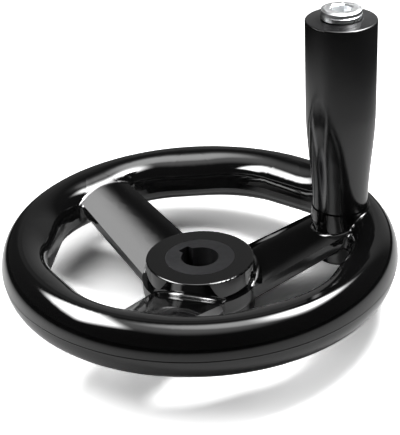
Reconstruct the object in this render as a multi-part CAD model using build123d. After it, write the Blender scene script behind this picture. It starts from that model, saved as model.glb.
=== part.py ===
from build123d import *
from math import cos, radians, sin, sqrt, tan
import os

# Machine handwheel: a moulded three-spoke wheel with a revolving handle. Millimetres.
# Origin: on the shaft axis, in the back face of the hub. +Z runs along the shaft axis to the
# handle's side, and +X along the spoke that carries the handle.

os.makedirs("parts", exist_ok=True)

# ---- hub, bush and shaft bore ----
hub_d = 34.5              # moulded hub, outside
hub_length = 18.0         # from the back face to the front face
hub_edge_r = 0.5          # rounding of the hub's front edge
hub_back_bevel = 0.5      # on the hub's back edge
bush_d = 22.2             # steel bush moulded into the hub
bush_groove_w = 3.0       # grooves that key the bush into the moulding
bush_groove_depth = 1.0
bush_groove_inset = 3.5   # from each end of the bush to its groove
shaft_d = 12.0            # bore for the machine's shaft
keyway_w = 4.0            # for a parallel key
keyway_depth = 1.8        # beyond the bore
keyway_turn = 120.0       # the keyway points along the second spoke

# ---- rim ----
wheel_d = 125.0           # over the rim
rim_over_hub = 2.0        # parting plane of the rim's mould, above the hub's front face
rim_outer_w = 6.0         # from the crest circle to the outside
rim_top_h = 9.35          # crest above the parting plane
rim_bottom_h = 8.1        # lowest line below the parting plane
parting_step = 0.2        # the lower half is this much smaller in radius
facet_count = 9           # finger flats round the inside of the rim
rim_inner_w = 10.1        # from the crest circle to the middle of a flat
facet_corner_r = 25.0     # rounding between two flats, in the parting plane
upper_fullness = 2.5      # power of the upper flank's curve: 2 is an ellipse, more is fuller
lower_fullness = 1.8      # the same below the upright wall
rim_wall_h = 2.0          # upright wall below the inner parting line
crest_land_w = 0.3        # flat line along the crest
flank_steps = 6           # sections through each flank

# ---- spokes ----
spoke_count = 3
spoke_hub_margin = 5.25   # the hub beyond a spoke's width on each side
spoke_boss_margin = 1.0   # a spoke's width beyond the boss on each side, at the rim's flats
spoke_hub_drop = 5.8      # upper edges below the hub's front face, at the hub's wall
spoke_rim_rise = 4.3      # upper edges above the parting plane, at the rim's flats
spoke_crown_h = 1.35      # arch of the upper face above its edges
spoke_depth = 6.8         # upper edges to the flat underside
spoke_edge_r = 0.8        # rounding of the upper edges
spoke_belly_r = 4.8       # rounding of the lower edges
spoke_root_in = 2.0       # how far a spoke's end lies inside the hub's wall, at its corners
hub_blend_r = 1.2         # fillet between a spoke and the hub
collar_w = 1.5            # collar between the spokes' roots, beyond the hub's wall
collar_drop = 1.0         # its top below the spokes' upper edges
collar_h = 6.7            # top to lowest line
collar_belly_r = 3.4      # rounding of its lower edge
collar_root = 2.0         # how far it reaches into the hub's wall
rim_blend_r = 2.0         # fillet between a spoke and the rim

# ---- boss under the handle ----
boss_d = 18.2             # at its face
boss_inset = 0.8          # from the crest circle to the boss
boss_over_crest = 0.4     # the boss's face above the rim's crest
boss_h = 18.6             # from its face to its lower end
boss_draft = 6.0          # taper of its lower half, in degrees
boss_end_r = 1.5          # rounding of the lower end
boss_blend_r = 0.7        # fillet between the boss and the spoke
insert_d = 12.6           # threaded insert moulded into the boss
insert_h = 13.0
insert_groove_w = 2.5
insert_groove_depth = 0.8

# ---- revolving handle ----
grip_h = 62.5             # lower edge to upper edge
grip_base_d = 17.5        # at the boss
grip_waist_d = 21.75      # where the curved neck ends
grip_waist_h = 33.0       # height of that point
grip_top_d = 22.0         # at the upper edge
grip_edge_r = 0.4         # rounding of the upper edge
grip_foot_bevel = 0.3     # on the lower edge
grip_crown_h = 0.4        # rise of the upper end towards the washer
grip_crown_d = 13.6       # flat in the middle of the upper end
grip_play = 0.15          # gap at each end of the grip
spindle_d = 10.0          # shoulder that the grip turns on
spindle_clearance = 0.05  # between the shoulder and the grip, on the radius
thread_d = 8.0            # threaded end
thread_h = 11.5
thread_clearance = 0.05   # on the radius
thread_lead_in = 0.8      # chamfer on the threaded end
washer_d = 12.6
washer_h = 1.6
washer_bevel = 0.25       # on its two outer edges
washer_clearance = 0.15   # between the washer and the shoulder, on the radius
head_d = 12.4
head_h = 1.4
head_bevel_w = 0.8        # shallow bevel round the head
head_bevel_h = 0.3
socket_w = 6.0            # hexagon socket, across the flats
socket_h = 3.5
socket_lead_in = 0.4

# ---- heights and radii that follow ----
hub_r = hub_d / 2
parting_z = hub_length + rim_over_hub
crest_r = wheel_d / 2 - rim_outer_w
facet_apothem = crest_r - rim_inner_w
spoke_hub_w = hub_d - 2 * spoke_hub_margin
spoke_hub_z = hub_length - spoke_hub_drop
spoke_rim_z = parting_z + spoke_rim_rise
spoke_rim_w = boss_d + 2 * spoke_boss_margin
handle_r = crest_r - boss_inset - boss_d / 2
boss_z = parting_z + rim_top_h + boss_over_crest
grip_z = boss_z + grip_play
grip_edge_z = grip_z + grip_h
washer_z = grip_edge_z + grip_crown_h + grip_play
head_z = washer_z + washer_h


# ======== the moulded wheel ========

def facet_outline(share, height):
    """Rounded polygon inside the rim. The share is 1 in the parting plane and 0 at the crest."""
    land_r = crest_r - crest_land_w
    apothem = share * facet_apothem + (1 - share) * land_r
    corner_r = share * facet_corner_r + (1 - share) * (land_r - crest_land_w)
    half_turn = 180 / facet_count
    polygon = RegularPolygon(apothem, facet_count, major_radius=False, rotation=half_turn)
    return Pos(0, 0, height) * fillet(polygon.vertices(), corner_r)


def flank_hole(level, rise, fullness):
    """Opening whose wall sweeps from the flats in the parting plane to the round crest."""
    outlines = []
    for step in range(flank_steps + 1):
        angle = radians(90 * step / flank_steps)
        share = max(cos(angle), 0) ** (2 / fullness)
        outlines.append(facet_outline(share, level + rise * sin(angle) ** (2 / fullness)))
    return loft(outlines)


def rim():
    """Rim with an elliptic outside, a mould step at its widest line, and flats inside."""
    outside_r = wheel_d / 2
    top = parting_z + rim_top_h
    bottom = parting_z - rim_bottom_h
    inner_r = facet_apothem - rim_outer_w      # of the blank, well inside the flats
    with BuildPart() as blank:
        with BuildSketch(Plane.XZ):
            with BuildLine():
                EllipticalCenterArc((crest_r, parting_z), rim_outer_w, rim_top_h, start_angle=0, arc_size=90)
                Polyline((crest_r, top), (inner_r, top), (inner_r, bottom), (crest_r, bottom))
                EllipticalCenterArc((crest_r, parting_z), rim_outer_w - parting_step, rim_bottom_h,
                                    start_angle=270, arc_size=90)
                Line((outside_r - parting_step, parting_z), (outside_r, parting_z))
            make_face()
        revolve(axis=Axis.Z)
    wall = extrude(facet_outline(1, parting_z - rim_wall_h), rim_wall_h)
    upper = flank_hole(parting_z, rim_top_h, upper_fullness)
    lower = flank_hole(parting_z - rim_wall_h, rim_wall_h - rim_bottom_h, lower_fullness)
    return blank.part - upper - wall - lower


def spoke_outline(radius):
    """Cross-section of a spoke at a radius: arched top, small upper edges, deep rounded belly."""
    share = (radius - hub_r) / (facet_apothem - hub_r)
    half_w = (spoke_hub_w + share * (spoke_rim_w - spoke_hub_w)) / 2
    edge_z = spoke_hub_z + share * (spoke_rim_z - spoke_hub_z)
    low_z = edge_z - spoke_depth
    with BuildSketch(Plane.YZ.offset(radius)) as outline:
        with BuildLine():
            ThreePointArc((-half_w, edge_z), (0, edge_z + spoke_crown_h), (half_w, edge_z))
            Polyline((half_w, edge_z), (half_w, low_z), (-half_w, low_z), (-half_w, edge_z))
        make_face()
        by_height = outline.vertices().sort_by(Axis.Y)
        fillet(by_height[:2], spoke_belly_r)
        fillet(by_height[2:], spoke_edge_r)
    return outline.sketch


def spoke():
    """One dished spoke, climbing from inside the hub to inside the rim."""
    wall_x = sqrt(hub_r ** 2 - (spoke_hub_w / 2) ** 2)
    inner_end = spoke_outline(wall_x - spoke_root_in)
    outer_end = spoke_outline(crest_r - rim_outer_w)
    return loft([inner_end, outer_end], ruled=True)


def collar():
    """Collar round the hub between the spokes' roots, with a rounded belly."""
    disc = extrude(Circle(hub_r + collar_w), collar_h)
    disc = fillet(disc.edges().sort_by(Axis.Z)[0], collar_belly_r)
    disc -= extrude(Circle(hub_r - collar_root), collar_h)
    return Pos(0, 0, spoke_hub_z - collar_drop - collar_h) * disc


def boss():
    """Boss that carries the handle: a straight upper part and a drafted, rounded lower part."""
    radius = boss_d / 2
    end_z = boss_z - boss_h
    draft_z = boss_z - boss_h / 2
    end_r = radius - (draft_z - end_z) * tan(radians(boss_draft))
    with BuildPart() as turned:
        with BuildSketch(Plane.XZ) as outline:
            with BuildLine():
                Polyline((0, end_z), (end_r, end_z), (radius, draft_z), (radius, boss_z), (0, boss_z), close=True)
            make_face()
            corner = outline.vertices().sort_by_distance((end_r, end_z))[0]
            fillet(corner, boss_end_r)
        revolve(axis=Axis.Z)
    return Pos(handle_r, 0, 0) * turned.part


def grooved_core(diameter, height, groove_w, groove_depth, groove_levels):
    """Turned outside of a moulded-in metal piece, standing on z = 0, with its anchoring grooves."""
    core = extrude(Circle(diameter / 2), height)
    groove = Circle(diameter / 2) - Circle(diameter / 2 - groove_depth)
    for level in groove_levels:
        core -= Pos(0, 0, level) * extrude(groove, groove_w)
    return core


def bush_core():
    """Outside of the hub bush, which is also its seat in the moulding."""
    levels = (bush_groove_inset, hub_length - bush_groove_inset - bush_groove_w)
    return grooved_core(bush_d, hub_length, bush_groove_w, bush_groove_depth, levels)


def insert_core():
    """Outside of the threaded insert, which is also its seat in the boss."""
    level = (insert_h - insert_groove_w) / 2
    core = grooved_core(insert_d, insert_h, insert_groove_w, insert_groove_depth, (level,))
    return Pos(handle_r, 0, boss_z - insert_h) * core


def wheel_body():
    """Rim, spokes, hub and boss as the one moulding that they are, with the two metal seats."""
    hub = extrude(Circle(hub_r), hub_length)
    hub = chamfer(hub.edges().sort_by(Axis.Z)[0], hub_back_bevel)
    hub = fillet(hub.edges().sort_by(Axis.Z)[-1], hub_edge_r)
    spokes = PolarLocations(0, spoke_count) * spoke()
    star = hub + spokes
    star = fillet(new_edges(hub, *spokes, combined=star), hub_blend_r) + collar()
    ring = rim()
    wheel = ring + star
    wheel = fillet(new_edges(ring, star, combined=wheel), rim_blend_r)
    handle_boss = boss()
    carrier = wheel + handle_boss
    carrier = fillet(new_edges(wheel, handle_boss, combined=carrier), boss_blend_r)
    return carrier - bush_core() - insert_core()


# ======== metal pieces and the handle ========

def hub_bush():
    """Steel bush with the shaft bore and its keyway."""
    bore = extrude(Circle(shaft_d / 2), hub_length)
    reach = shaft_d / 2 + keyway_depth
    key = extrude(Pos(reach / 2, 0) * Rectangle(reach, keyway_w), hub_length)
    return bush_core() - bore - Rot(0, 0, keyway_turn) * key


def handle_insert():
    """Threaded insert in the boss. Its thread is drawn as a plain hole."""
    hole = extrude(Circle(thread_d / 2 + thread_clearance), insert_h)
    return insert_core() - Pos(handle_r, 0, boss_z - insert_h) * hole


def turned_on_handle(profile):
    """Turn a profile, drawn in radius and height, about the handle's axis."""
    return Pos(handle_r, 0, 0) * revolve(Plane.XZ * profile, Axis.Z)


def handle_spindle():
    """Shouldered spindle: bevelled head with a hexagon socket, shoulder, and threaded end."""
    head_r = head_d / 2
    shoulder_r = spindle_d / 2
    thread_r = thread_d / 2
    top = head_z + head_h
    end = boss_z - thread_h
    profile = make_face(Polyline(
        (0, top), (head_r - head_bevel_w, top), (head_r, top - head_bevel_h), (head_r, head_z),
        (shoulder_r, head_z), (shoulder_r, boss_z), (thread_r, boss_z), (thread_r, end + thread_lead_in),
        (thread_r - thread_lead_in, end), (0, end), close=True))
    socket = RegularPolygon(socket_w / 2, 6, major_radius=False)
    mouth = RegularPolygon(socket_w / 2 + socket_lead_in, 6, major_radius=False)
    recess = Pos(0, 0, top - socket_h) * extrude(socket, socket_h)
    recess += loft([Pos(0, 0, top - socket_lead_in) * socket, Pos(0, 0, top) * mouth])
    return turned_on_handle(profile) - Pos(handle_r, 0, 0) * recess


def handle_washer():
    """Plain washer between the head and the handle's upper end."""
    ring = Circle(washer_d / 2) - Circle(spindle_d / 2 + washer_clearance)
    washer = extrude(ring, washer_h)
    rims = washer.edges().filter_by(GeomType.CIRCLE).group_by(SortBy.RADIUS)[-1]
    return Pos(handle_r, 0, washer_z) * chamfer(rims, washer_bevel)


def handle_grip():
    """Moulded handle: a necked foot that swells to a nearly straight body, and a coned end."""
    bore_r = spindle_d / 2 + spindle_clearance
    foot = (grip_base_d / 2, grip_z + grip_foot_bevel)
    heel = (foot[0] - grip_foot_bevel, grip_z)
    waist = (grip_waist_d / 2, grip_z + grip_waist_h)
    shoulder = (grip_top_d / 2, grip_edge_z)
    crown = (grip_crown_d / 2, grip_edge_z + grip_crown_h)
    taper = (shoulder[0] - waist[0], shoulder[1] - waist[1])
    with BuildPart() as grip:
        with BuildSketch(Plane.XZ) as profile:
            with BuildLine():
                Spline(foot, waist, tangents=[(0, 1), taper])
                Line(waist, shoulder)
                Polyline(shoulder, crown, (bore_r, crown[1]), (bore_r, grip_z), heel, foot)
            make_face()
            fillet(profile.vertices().sort_by_distance(shoulder)[0], grip_edge_r)
        revolve(axis=Axis.Z)
    return Pos(handle_r, 0, 0) * grip.part


pieces = {
    "wheel_body": wheel_body(),
    "hub_bush": hub_bush(),
    "handle_insert": handle_insert(),
    "handle_spindle": handle_spindle(),
    "handle_washer": handle_washer(),
    "handle_grip": handle_grip(),
}
for name, piece in pieces.items():
    piece.label = name
    export_step(piece, f"parts/{name}.step")
    print(name, "volume", round(piece.volume), "mm3")
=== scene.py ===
# %% [markdown]
# # Dressing and lighting a machine handwheel
# The wheel is a glossy black moulding with a turned steel bush in its hub and a revolving handle
# on a zinc-plated spindle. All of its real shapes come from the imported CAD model, so this lesson
# is about the other half of the look: what each surface is made of, and what it reflects.

# %% Load the frame
from math import cos, pi, radians, sin
import bpy
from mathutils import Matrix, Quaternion, Vector


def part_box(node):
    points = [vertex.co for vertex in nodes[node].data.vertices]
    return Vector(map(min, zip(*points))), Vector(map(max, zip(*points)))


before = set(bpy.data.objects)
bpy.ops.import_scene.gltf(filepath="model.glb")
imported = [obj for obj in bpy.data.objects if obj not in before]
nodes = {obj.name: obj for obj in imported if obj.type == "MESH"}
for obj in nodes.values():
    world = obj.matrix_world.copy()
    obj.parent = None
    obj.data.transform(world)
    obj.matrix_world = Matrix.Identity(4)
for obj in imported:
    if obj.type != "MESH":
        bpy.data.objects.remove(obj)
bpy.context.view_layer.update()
print("nodes:", ", ".join(sorted(nodes)))

# %% [markdown]
# ## Places on the wheel
# A finish has to know where its piece is. Turned rings run round the handle's own axis, and the
# mould's seam lies at a set height above the hub. These places could be typed in, but reading
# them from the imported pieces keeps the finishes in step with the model.

# %% Places that the frame gives
wheel_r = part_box("wheel_body")[1].y
grip_low, grip_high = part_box("handle_grip")
handle_x = (grip_low.x + grip_high.x) / 2
hub_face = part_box("hub_bush")[1].z
print(f"wheel radius {wheel_r * 1000:.1f} mm, handle axis at x = {handle_x * 1000:.1f} mm")
print(f"hub's front face {hub_face * 1000:.1f} mm up")

# %% [markdown]
# ## The camera
# The wheel is seen from its front left and from 28 degrees above, through a long lens that keeps
# the rim's ellipse calm. A camera looks along its own -Z, so the direction back to it is turned
# into a rotation with to_track_quat, and the small roll is added in the camera's own axes.

# %% Camera
CAMERA_AZIMUTH = radians(-11.645)
CAMERA_ELEVATION = radians(28.345)
CAMERA_ROLL = radians(-2.68)
CAMERA_DISTANCE = 0.44948
AIM_HEIGHT = 0.034215
LENS_MM = 118.954
SENSOR_MM = 36
SHIFT_X = 0.00532
SHIFT_Y = -0.01289
NEAREST_SEEN = 0.01
FARTHEST_SEEN = 20


def direction(azimuth, elevation):
    """Unit vector from the object towards a viewer. Azimuth 0 stands on the -Y side."""
    flat = cos(elevation)
    return Vector((sin(azimuth) * flat, -cos(azimuth) * flat, sin(elevation)))


back = direction(CAMERA_AZIMUTH, CAMERA_ELEVATION)
lens = bpy.data.cameras.new("camera")
lens.lens = LENS_MM
lens.sensor_width = SENSOR_MM
lens.shift_x = SHIFT_X
lens.shift_y = SHIFT_Y
lens.clip_start = NEAREST_SEEN
lens.clip_end = FARTHEST_SEEN
camera = bpy.data.objects.new("camera", lens)
camera.location = Vector((0, 0, AIM_HEIGHT)) + CAMERA_DISTANCE * back
camera.rotation_mode = "QUATERNION"
camera.rotation_quaternion = (-back).to_track_quat("-Z", "Y") @ Quaternion((0, 0, 1), CAMERA_ROLL)
bpy.context.scene.collection.objects.link(camera)
bpy.context.scene.camera = camera
print("camera at", [round(v, 3) for v in camera.location])

# %% [markdown]
# ## Effects that several finishes share
# A node group is a small machine with named inputs and outputs. Each effect is built once here
# and then placed in every material that needs it, with that material's own numbers. The groups
# put out only colours, masks, values and normals, and the shader itself stays in the material.
# A handful of helpers keep the trees readable, because each makes one node and wires it up.

# %% Helpers for node trees
FLOAT = "NodeSocketFloat"
COLOUR = "NodeSocketColor"
VECTOR = "NodeSocketVector"


def effect_group(name, takes, gives):
    """An empty shader group with its sockets, and its input and output nodes."""
    tree = bpy.data.node_groups.new(name, "ShaderNodeTree")
    for label, kind, value in takes:
        socket = tree.interface.new_socket(label, in_out="INPUT", socket_type=kind)
        socket.default_value = value
    for label, kind in gives:
        tree.interface.new_socket(label, in_out="OUTPUT", socket_type=kind)
    print("group:", name, "takes", len(takes), "gives", len(gives))
    return tree, tree.nodes.new("NodeGroupInput"), tree.nodes.new("NodeGroupOutput")


def feed(tree, socket, value):
    """Links a socket to another one, or gives it a plain value."""
    if isinstance(value, bpy.types.NodeSocket):
        tree.links.new(value, socket)
    else:
        socket.default_value = value


def node(tree, kind, settings=None, **inputs):
    """A node with its settings made, and its named inputs fed."""
    made = tree.nodes.new(kind)
    for key, value in (settings or {}).items():
        setattr(made, key, value)
    for label, value in inputs.items():
        feed(tree, made.inputs[label.replace("_", " ")], value)
    return made


def calculate(tree, operation, first, second=0.0, clamp=False):
    """A Math node's result."""
    made = node(tree, "ShaderNodeMath", {"operation": operation, "use_clamp": clamp})
    feed(tree, made.inputs[0], first)
    feed(tree, made.inputs[1], second)
    return made.outputs[0]


def measure(tree, operation, first, second=(0, 0, 0)):
    """A Vector Math node's one number, such as a length, a distance or a dot product."""
    made = node(tree, "ShaderNodeVectorMath", {"operation": operation})
    feed(tree, made.inputs[0], first)
    feed(tree, made.inputs[1], second)
    return made.outputs["Value"]


def off_axis(tree, split):
    """How far a place, split into X, Y and Z, is from the Z axis."""
    flat = node(tree, "ShaderNodeCombineXYZ", X=split.outputs["X"], Y=split.outputs["Y"])
    return measure(tree, "LENGTH", flat.outputs[0])


def noise(tree, place, scale, detail):
    """A noise texture's value, at a place in metres."""
    return node(tree, "ShaderNodeTexNoise", Vector=place, Scale=scale, Detail=detail).outputs["Fac"]


# %% [markdown]
# ### The skin of a moulding
# A pressed thermoset copies a polished mould. It is never quite flat: it has a faint long wave,
# left where the material shrank, and a very fine grain. Together they make a reflected lamp's
# edge swim a little and give it a soft haze, which a perfectly smooth black can't have. Soft
# clouds in the colour and the roughness stand for the uneven flow of the material.

# %% Moulded skin
CLOUDS_PER_METRE = 45.0
NOISE_LOW, NOISE_HIGH = 0.3, 0.7


def uneven(tree, value, least, most):
    """Stretches the range that a noise mostly keeps to over a range of our own."""
    made = node(
        tree, "ShaderNodeMapRange", Value=value,
        From_Min=NOISE_LOW, From_Max=NOISE_HIGH, To_Min=least, To_Max=most,
    )
    return made.outputs["Result"]


def moulded_skin():
    """Waves and grain in the normal, clouds in the colour and the roughness."""
    tree, given, out = effect_group(
        "moulded_skin",
        [
            ("Colour", COLOUR, (0.004, 0.004, 0.0045, 1)),
            ("Roughness", FLOAT, 0.08),
            ("Wave Size", FLOAT, 0.012),
            ("Wave Height", FLOAT, 0.00001),
            ("Grain Size", FLOAT, 0.0004),
            ("Grain Height", FLOAT, 0.0000004),
            ("Added Height", FLOAT, 0.0),
            ("Added Roughness", FLOAT, 0.0),
        ],
        [("Colour", COLOUR), ("Roughness", FLOAT), ("Normal", VECTOR)],
    )
    place = node(tree, "ShaderNodeTexCoord").outputs["Object"]
    wave = noise(tree, place, calculate(tree, "DIVIDE", 1.0, given.outputs["Wave Size"]), 1.0)
    grain = noise(tree, place, calculate(tree, "DIVIDE", 1.0, given.outputs["Grain Size"]), 2.0)
    cloud = uneven(tree, noise(tree, place, CLOUDS_PER_METRE, 4.0), 0.85, 1.25)
    wave_h = calculate(tree, "MULTIPLY", wave, given.outputs["Wave Height"])
    grain_h = calculate(tree, "MULTIPLY", grain, given.outputs["Grain Height"])
    height = calculate(tree, "ADD", wave_h, grain_h)
    height = calculate(tree, "ADD", height, given.outputs["Added Height"])
    bump = node(tree, "ShaderNodeBump", Height=height, Distance=1.0, Strength=1.0)
    roughness = calculate(tree, "MULTIPLY", given.outputs["Roughness"], cloud)
    roughness = calculate(tree, "ADD", roughness, given.outputs["Added Roughness"])
    tint = node(tree, "ShaderNodeVectorMath", {"operation": "SCALE"}, Scale=cloud)
    feed(tree, tint.inputs[0], given.outputs["Colour"])
    tree.links.new(tint.outputs[0], out.inputs["Colour"])
    tree.links.new(roughness, out.inputs["Roughness"])
    tree.links.new(bump.outputs["Normal"], out.inputs["Normal"])
    return tree


skin = moulded_skin()

# %% [markdown]
# ### The seam of the mould
# The two halves of the mould meet in one plane, half-way up the rim. The flash that squeezed out
# between them was trimmed off, which left a fine dull ridge round the outside. It is far thinner
# than the mesh could carry, so a mask finds it: close to the plane, and outside a radius.

# %% Mould seam
def mould_seam():
    """A mask that is 1 on the seam's line and fades to 0 on both sides."""
    tree, given, out = effect_group(
        "mould_seam",
        [
            ("Seam Level", FLOAT, 0.02),
            ("Half Width", FLOAT, 0.0003),
            ("Inside Radius", FLOAT, 0.058),
        ],
        [("Mask", FLOAT)],
    )
    place = node(tree, "ShaderNodeTexCoord").outputs["Object"]
    split = node(tree, "ShaderNodeSeparateXYZ", Vector=place)
    off = calculate(tree, "SUBTRACT", split.outputs["Z"], given.outputs["Seam Level"])
    off = calculate(tree, "ABSOLUTE", off)
    near = calculate(tree, "DIVIDE", off, given.outputs["Half Width"])
    near = calculate(tree, "SUBTRACT", 1.0, near, clamp=True)
    outside = calculate(tree, "GREATER_THAN", off_axis(tree, split), given.outputs["Inside Radius"])
    tree.links.new(calculate(tree, "MULTIPLY", near, outside), out.inputs["Mask"])
    return tree


seam = mould_seam()

# %% [markdown]
# ### Marks of the lathe
# The bush, the washer and the spindle's head are turned, so fine rings run round their own
# axes. A wave texture would make them too regular. Here a one-dimensional noise is read along
# the distance from the axis, and every ring gets a height of its own. Cloudy patches change the
# colour and the roughness, as handling and plating do.

# %% Turned rings
PATCHES_PER_METRE = 420.0


def mix_colours(tree, factor, first, second):
    """A Mix node's colour."""
    made = node(tree, "ShaderNodeMix", {"data_type": "RGBA"})
    wanted = {"Factor_Float": factor, "A_Color": first, "B_Color": second}
    for socket in made.inputs:
        if socket.identifier in wanted:
            feed(tree, socket, wanted[socket.identifier])
    return next(s for s in made.outputs if s.identifier == "Result_Color")


def turned_rings():
    """Rings in the normal, patches in the colour and the roughness."""
    tree, given, out = effect_group(
        "turned_rings",
        [
            ("Vector", VECTOR, (0, 0, 0)),
            ("Colour", COLOUR, (0.5, 0.5, 0.5, 1)),
            ("Dark Colour", COLOUR, (0.3, 0.3, 0.3, 1)),
            ("Roughness", FLOAT, 0.3),
            ("Ring Pitch", FLOAT, 0.0003),
            ("Ring Height", FLOAT, 0.000004),
        ],
        [("Colour", COLOUR), ("Roughness", FLOAT), ("Normal", VECTOR)],
    )
    place = given.outputs["Vector"]
    split = node(tree, "ShaderNodeSeparateXYZ", Vector=place)
    travel = calculate(tree, "ADD", off_axis(tree, split), split.outputs["Z"])
    turn = calculate(tree, "DIVIDE", travel, given.outputs["Ring Pitch"])
    ring = node(tree, "ShaderNodeTexNoise", {"noise_dimensions": "1D"}, W=turn, Scale=1.0, Detail=3.0)
    patch = noise(tree, place, PATCHES_PER_METRE, 4.0)
    height = calculate(tree, "MULTIPLY", ring.outputs["Fac"], given.outputs["Ring Height"])
    bump = node(tree, "ShaderNodeBump", Height=height, Distance=1.0, Strength=1.0)
    tone = mix_colours(tree, patch, given.outputs["Colour"], given.outputs["Dark Colour"])
    wear = uneven(tree, patch, 0.9, 1.15)
    roughness = calculate(tree, "MULTIPLY", given.outputs["Roughness"], wear)
    tree.links.new(tone, out.inputs["Colour"])
    tree.links.new(roughness, out.inputs["Roughness"])
    tree.links.new(bump.outputs["Normal"], out.inputs["Normal"])
    return tree


rings = turned_rings()

# %% [markdown]
# ## The finishes
# Each finish is one material: an effect group feeds the colour, the roughness and the normal of
# a Principled shader, and whatever is the same all over is set on the shader itself.

# %% A finish from a group
def place_group(material, effect):
    """Puts an effect into a material."""
    group = material.node_tree.nodes.new("ShaderNodeGroup")
    group.node_tree = effect
    return group


def new_finish(name, effect, settings, shader_settings):
    """A material whose colour, roughness and normal come from an effect group."""
    material = bpy.data.materials.new(name)
    material.use_nodes = True
    tree = material.node_tree
    shader = tree.nodes["Principled BSDF"]
    group = place_group(material, effect)
    for label, value in settings.items():
        group.inputs[label].default_value = value
    for label, value in shader_settings.items():
        shader.inputs[label].default_value = value
    tree.links.new(group.outputs["Colour"], shader.inputs["Base Color"])
    tree.links.new(group.outputs["Roughness"], shader.inputs["Roughness"])
    tree.links.new(group.outputs["Normal"], shader.inputs["Normal"])
    print("finish:", name)
    return material


def group_in(material, effect):
    """The node that holds this effect in a material."""
    groups = [n for n in material.node_tree.nodes if n.type == "GROUP"]
    return next(n for n in groups if n.node_tree == effect)


# %% [markdown]
# ### The black mouldings
# Black thermoset takes nearly all of its look from its gloss, so its own colour is almost
# nothing. The wheel comes from a highly polished mould. The handle is a little duller, a shade
# less black, and its waves are longer.

# %% The two black mouldings
black_moulding = new_finish(
    "black_moulding", skin,
    {"Colour": (0.0035, 0.0035, 0.0036, 1), "Roughness": 0.06},
    {"IOR": 1.55},
)
black_handle = new_finish(
    "black_handle", skin,
    {"Colour": (0.008, 0.008, 0.0084, 1), "Roughness": 0.14, "Wave Size": 0.02},
    {"IOR": 1.55},
)

# %% [markdown]
# ### The seam on the wheel
# The mould's halves meet just above the hub's front face, on the rim's widest line. The seam's
# mask adds a ridge to the skin's height and takes the gloss off it. Both go in through the
# skin's own inputs, so that there is still one Bump node and one roughness.

# %% The seam on the wheel
SEAM_OVER_HUB = 0.002
SEAM_DEPTH = 0.0045
SEAM_RIDGE = 0.00008
SEAM_DULLNESS = 0.3
seam_mark = place_group(black_moulding, seam)
seam_mark.inputs["Seam Level"].default_value = hub_face + SEAM_OVER_HUB
seam_mark.inputs["Inside Radius"].default_value = wheel_r - SEAM_DEPTH
wheel_skin = group_in(black_moulding, skin)
for label, amount in (("Added Height", SEAM_RIDGE), ("Added Roughness", SEAM_DULLNESS)):
    share = calculate(black_moulding.node_tree, "MULTIPLY", seam_mark.outputs["Mask"], amount)
    feed(black_moulding.node_tree, wheel_skin.inputs[label], share)
print(f"seam {(hub_face + SEAM_OVER_HUB) * 1000:.1f} mm up")

# %% [markdown]
# ### The steels
# Three steels share the turned rings. The bush is blackened, so it is dark and rather dull. The
# insert inside the boss is plain turned steel. The spindle and its washer are zinc-plated, which
# is bright and slightly clouded. A Mapping node moves the rings on to each piece's own axis.

# %% The steels
def steel_finish(name, colour, dark_colour, roughness, axis_x):
    """A turned steel, with its rings round an axis that runs along Z at this x."""
    material = new_finish(
        name, rings,
        {"Colour": colour, "Dark Colour": dark_colour, "Roughness": roughness},
        {"Metallic": 1.0},
    )
    tree = material.node_tree
    place = node(tree, "ShaderNodeTexCoord").outputs["Object"]
    shift = node(tree, "ShaderNodeMapping", Vector=place, Location=(-axis_x, 0, 0))
    feed(tree, group_in(material, rings).inputs["Vector"], shift.outputs["Vector"])
    return material


blackened_steel = steel_finish(
    "blackened_steel", (0.06, 0.06, 0.063, 1), (0.04, 0.04, 0.042, 1), roughness=0.4, axis_x=0
)
plain_steel = steel_finish(
    "plain_steel", (0.5, 0.5, 0.51, 1), (0.36, 0.36, 0.37, 1), roughness=0.32, axis_x=handle_x
)
zinc_plate = steel_finish(
    "zinc_plate", (0.8, 0.81, 0.82, 1), (0.68, 0.69, 0.7, 1), roughness=0.3, axis_x=handle_x
)

# %% [markdown]
# ### Dressing the pieces
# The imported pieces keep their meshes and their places. A finish only takes over their material
# slots, and one table says which piece wears what.

# %% Dress the nodes
FINISH_OF = {
    "wheel_body": black_moulding,
    "hub_bush": blackened_steel,
    "handle_insert": plain_steel,
    "handle_spindle": zinc_plate,
    "handle_washer": zinc_plate,
    "handle_grip": black_handle,
}
for name, material in FINISH_OF.items():
    for slot in nodes[name].material_slots:
        slot.material = material
    print(name, "->", material.name)

# %% [markdown]
# ## The studio
# Black gloss shows almost nothing of its own colour: what the eye reads is the room. So the
# room is the real material here. Two softboxes hang close above the wheel, left and right, and
# a sheet of white paper lies under it in a dark room. They hang close because the front and the
# back of the rim mirror each of them from very different directions.
# All places are given as seen by the camera: to its right, away from it, and up.

# %% Places and turns in the camera's own terms
to_right = direction(CAMERA_AZIMUTH + pi / 2, 0)
away = -direction(CAMERA_AZIMUTH, 0)
up = Vector((0, 0, 1))


def toward(turn, rise):
    """Direction that leaves the object: turn 0 is straight away from the camera, 90 its right."""
    level = cos(radians(rise))
    flat = to_right * sin(radians(turn)) + away * cos(radians(turn))
    return flat * level + up * sin(radians(rise))


def hang(thing, place, turn, rise, spin):
    """Hangs a lamp or a panel at a place given as right, away and up, facing against toward()."""
    right, back_by, high = place
    thing.location = to_right * right + away * back_by + up * high
    thing.rotation_mode = "QUATERNION"
    outward = toward(turn, rise)
    thing.rotation_quaternion = (
        (-outward).to_track_quat("-Z", "Y") @ Quaternion((0, 0, 1), radians(spin))
    )
    bpy.context.scene.collection.objects.link(thing)


print("right of the camera is", [round(v, 3) for v in to_right])

# %% [markdown]
# ### A softbox's lamp
# A softbox here is a pair. This half is an area lamp that lights the surfaces at a plain level
# and leaves no reflection. Its power isn't guessed: it is worked out from the light that white
# paper straight below it should give back, so a colour on the object renders about as written.

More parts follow.
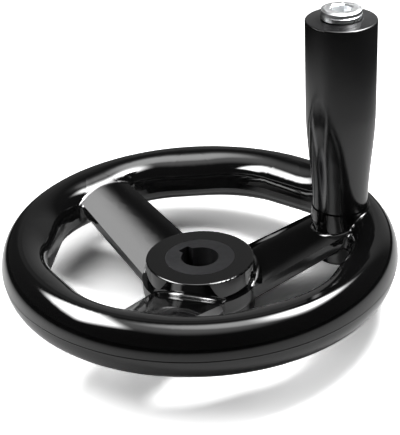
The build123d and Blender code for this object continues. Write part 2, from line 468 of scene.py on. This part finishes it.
# %% Soft lamp
def soft_lamp(name, light_on_paper, size, fades, hanging):
    """A rectangular lamp that lights the surfaces and isn't seen in them.

    It is as large as the lit part of its softbox, from the middle of one faded edge to the
    middle of the other, and it hangs in the middle of that part.
    """
    light = bpy.data.lights.new(name, "AREA")
    light.shape = "RECTANGLE"
    light.size = size[0] - (fades["left"] + fades["right"]) / 2
    light.size_y = size[1] - (fades["low"] + fades["high"]) / 2
    high = hanging["place"][2]
    light.energy = light_on_paper * pi ** 2 * high ** 2 / sin(radians(hanging["rise"]))
    lamp = bpy.data.objects.new(name, light)
    lamp.visible_glossy = False
    lamp.visible_camera = False
    hang(lamp, **hanging)
    off_middle = Vector((fades["left"] - fades["right"], fades["low"] - fades["high"], 0)) / 4
    lamp.location += lamp.rotation_quaternion @ off_middle
    return lamp


# %% [markdown]
# ### A softbox's bright cloth
# The other half is a glowing sheet that shows only in reflections and lights nothing. The cloth
# is brightest in one spot and fades towards its edges, which gives the highlights on the rim
# their soft ends. The glow is added to a transparent shader, so that the faded edge of a panel
# doesn't hide the room behind it.

# %% Bright panel
def sheet(name, width, height, corner_order):
    """A flat rectangle about its own middle. The order of its corners says which way it faces."""
    x, y = width / 2, height / 2
    mesh = bpy.data.meshes.new(name)
    mesh.from_pydata([(-x, -y, 0), (x, -y, 0), (x, y, 0), (-x, y, 0)], [], [corner_order])
    return bpy.data.objects.new(name, mesh)


def ramp(tree, value, start, end):
    """Eases from 0 at start to 1 at end, whichever of the two is larger."""
    made = node(
        tree, "ShaderNodeMapRange", {"interpolation_type": "SMOOTHSTEP"},
        Value=value, From_Min=start, From_Max=end, To_Min=0.0, To_Max=1.0,
    )
    return made.outputs["Result"]


def glowing_cloth(name, radiance, fades, size):
    """A glow that fades at the four edges, with nothing behind it hidden."""
    material = bpy.data.materials.new(name)
    material.use_nodes = True
    tree = material.node_tree
    tree.nodes.clear()
    place = node(tree, "ShaderNodeTexCoord").outputs["Object"]
    split = node(tree, "ShaderNodeSeparateXYZ", Vector=place)
    half_w, half_h = size[0] / 2, size[1] / 2
    level = radiance
    for axis, edge, inside in (
        ("X", -half_w, fades["left"] - half_w), ("X", half_w, half_w - fades["right"]),
        ("Y", -half_h, fades["low"] - half_h), ("Y", half_h, half_h - fades["high"]),
    ):
        level = calculate(tree, "MULTIPLY", ramp(tree, split.outputs[axis], edge, inside), level)
    glow = node(tree, "ShaderNodeEmission", Strength=level)
    clear = node(tree, "ShaderNodeBsdfTransparent")
    both = node(tree, "ShaderNodeAddShader")
    out = node(tree, "ShaderNodeOutputMaterial")
    tree.links.new(glow.outputs[0], both.inputs[0])
    tree.links.new(clear.outputs[0], both.inputs[1])
    tree.links.new(both.outputs[0], out.inputs["Surface"])
    return material


def bright_panel(name, radiance, fades, size, hanging):
    """The glowing sheet, hung where the lamp is and seen only by glossy rays."""
    panel = sheet(name, size[0], size[1], corner_order=(3, 2, 1, 0))
    panel.data.materials.append(glowing_cloth(name, radiance, fades, size))
    panel.visible_camera = False
    panel.visible_diffuse = False
    panel.visible_shadow = False
    panel.visible_transmission = False
    hang(panel, **hanging)
    return panel


# %% [markdown]
# ### Hanging the two softboxes
# The rim mirrors each of them twice: at the front on the softbox's own side, and in the slope
# at the back on the other side. The right one hangs higher and is much brighter in a small spot,
# which also shows in the spindle's head.

# %% The two softboxes
SOFTBOXES = {
    "left": dict(
        light_on_paper=0.8, radiance=28,
        fades=dict(left=0.028, right=0.113, low=0.021, high=0.077), size=(0.201, 0.147),
        hanging=dict(place=(-0.118, 0.004, 0.124), turn=162, rise=66.5, spin=72.6),
    ),
    "right": dict(
        light_on_paper=0.8, radiance=103,
        fades=dict(left=0.199, right=0.109, low=0.068, high=0.091), size=(0.216, 0.126),
        hanging=dict(place=(0.098, -0.012, 0.185), turn=61, rise=63, spin=-15.6),
    ),
}
for side, box in SOFTBOXES.items():
    soft_lamp(f"lamp_{side}", box["light_on_paper"], box["size"], box["fades"], box["hanging"])
    bright_panel(f"panel_{side}", box["radiance"], box["fades"], box["size"], box["hanging"])
    print(side, "softbox at", box["hanging"]["place"])

# %% [markdown]
# ## The floor
# The paper is white where the wheel stands and the floor beyond it is dark, which keeps the
# sides of the rim black. The camera alone sees white everywhere. To it the paper has a high-key
# colour, and away from the object the floor glows with a strength of 1. The true shadow stays
# under the wheel and behind the hub, and fades towards the front.

# %% Floor
PAPER_MIDDLE = to_right * 0.03
PAPER_R = 0.13
PAPER_FADE = 0.1
KEPT_SHADOW = away * 0.03
GLOW_START = 0.05
GLOW_END = 0.125
WHITE = (1, 1, 1, 1)
FIBRE_WHITE = (0.97, 0.97, 0.97, 1)
HIGH_KEY_WHITE = (1.9, 1.9, 1.9, 1)
DARK_FLOOR = (0.03, 0.03, 0.03, 1)
FIBRES_PER_METRE = 900.0
FLOOR_SIZE = 8.0


def floor_finish():
    """White paper on a dark floor, and white all over for the camera."""
    material = bpy.data.materials.new("floor_paper")
    material.use_nodes = True
    tree = material.node_tree
    shader = tree.nodes["Principled BSDF"]
    place = node(tree, "ShaderNodeTexCoord").outputs["Object"]
    seen = node(tree, "ShaderNodeLightPath").outputs["Is Camera Ray"]
    off_paper = measure(tree, "DISTANCE", place, PAPER_MIDDLE)
    beyond = ramp(tree, off_paper, PAPER_R, PAPER_R + PAPER_FADE)
    dark = calculate(tree, "MULTIPLY", beyond, calculate(tree, "SUBTRACT", 1.0, seen))
    fibre = noise(tree, place, FIBRES_PER_METRE, 3.0)
    paper = mix_colours(tree, fibre, WHITE, FIBRE_WHITE)
    bright = mix_colours(tree, seen, paper, HIGH_KEY_WHITE)
    colour = mix_colours(tree, dark, bright, DARK_FLOOR)
    off_shadow = measure(tree, "DISTANCE", place, KEPT_SHADOW)
    glow = calculate(tree, "MULTIPLY", ramp(tree, off_shadow, GLOW_START, GLOW_END), seen)
    tree.links.new(colour, shader.inputs["Base Color"])
    tree.links.new(glow, shader.inputs["Emission Strength"])
    shader.inputs["Emission Color"].default_value = WHITE
    shader.inputs["Roughness"].default_value = 0.9
    shader.inputs["Specular IOR Level"].default_value = 0.0
    return material


floor = sheet("floor", FLOOR_SIZE, FLOOR_SIZE, corner_order=(0, 1, 2, 3))
floor.data.materials.append(floor_finish())
bpy.context.scene.collection.objects.link(floor)
print("floor paper radius", PAPER_R, "m")

# %% [markdown]
# ## The room
# The room is dark, with three patches of light. The level tops of the wheel mirror a dim wall
# behind the object, and the slopes that lean towards the camera mirror the ceiling and the
# softboxes' spill on it. All of them light the surfaces at a low level, and the camera sees
# white above the horizon. Each patch is a soft disc, found by the angle between a ray and its
# middle.

# %% Room
ROOM_LEVEL = 0.04
ROOM_ON_SURFACES = 0.3
ROOM_LIGHTS = {
    "wall": dict(turn=15, rise=8, start=38, end=8, level=0.3),
    "ceiling": dict(turn=0, rise=90, start=45, end=12, level=1.6),
    "spill": dict(turn=35, rise=76, start=26, end=5, level=4.5),
}


def light_patch(tree, look, turn, rise, start, end, level):
    """A round patch of light: none at start degrees from its middle, full at end degrees."""
    aim = measure(tree, "DOT_PRODUCT", look, toward(turn, rise))
    shape = ramp(tree, aim, cos(radians(start)), cos(radians(end)))
    return calculate(tree, "MULTIPLY", shape, level)


def room():
    """The world: the patches for glossy rays, a share of them as light, white for the camera."""
    world = bpy.data.worlds.new("room")
    world.use_nodes = True
    tree = world.node_tree
    sky = tree.nodes["Background"]
    look = node(tree, "ShaderNodeTexCoord").outputs["Generated"]
    mirrored = ROOM_LEVEL
    for name, light in ROOM_LIGHTS.items():
        mirrored = calculate(tree, "ADD", light_patch(tree, look, **light), mirrored)
        print("room light:", name, light)
    ray = node(tree, "ShaderNodeLightPath")
    share = node(
        tree, "ShaderNodeMapRange", Value=ray.outputs["Is Glossy Ray"], To_Min=ROOM_ON_SURFACES
    )
    shown = calculate(tree, "MULTIPLY", mirrored, share.outputs["Result"])
    strength = calculate(tree, "MAXIMUM", shown, ray.outputs["Is Camera Ray"])
    tree.links.new(strength, sky.inputs["Strength"])
    sky.inputs["Color"].default_value = WHITE
    return world


bpy.context.scene.world = room()
bpy.context.scene.view_settings.view_transform = "Standard"
print("room level", ROOM_LEVEL)
